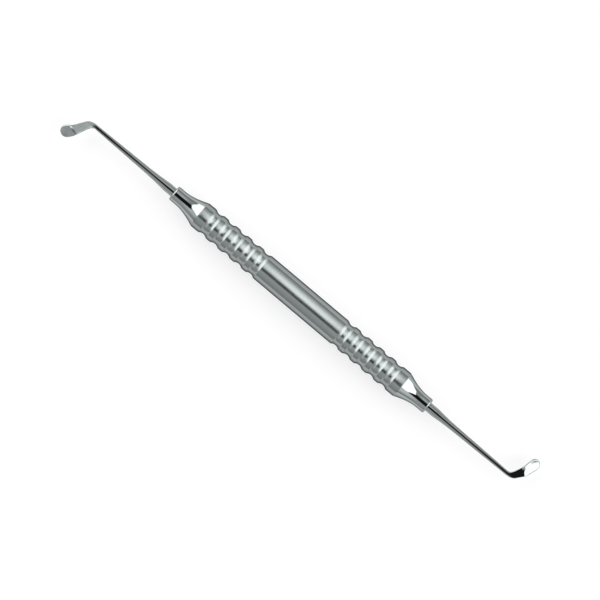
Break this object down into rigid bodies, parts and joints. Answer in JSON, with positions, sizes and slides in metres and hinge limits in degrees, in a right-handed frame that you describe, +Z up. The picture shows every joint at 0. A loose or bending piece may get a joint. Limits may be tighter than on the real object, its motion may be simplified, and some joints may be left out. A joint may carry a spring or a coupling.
{
  "type": "sinus lift elevator",
  "caption": "Double-ended surgical elevator: round grooved steel handle, slim bent shanks, a round dished blade and a longer twisted blade for lifting the sinus membrane.",
  "frame": {"origin": "under the middle of the instrument's bounding box, on the surface it lies on", "axes": "+X along the handle towards the long-bladed end, +Y to the side that this blade bends to, +Z up"},
  "size_m": [0.1806, 0.018, 0.0089],
  "materials": {
    "handle_satin": "turned stainless steel with a fine satin finish round the handle",
    "cone_polish": "turned stainless steel, mirror polished",
    "blade_polish": "forged and ground stainless steel, mirror polished"
  },
  "bodies": {
    "root": {"handle_body": "handle_satin", "end_cone_left": "cone_polish", "end_cone_right": "cone_polish", "round_working_end": "blade_polish", "long_working_end": "blade_polish"}
  },
  "joints": []
}
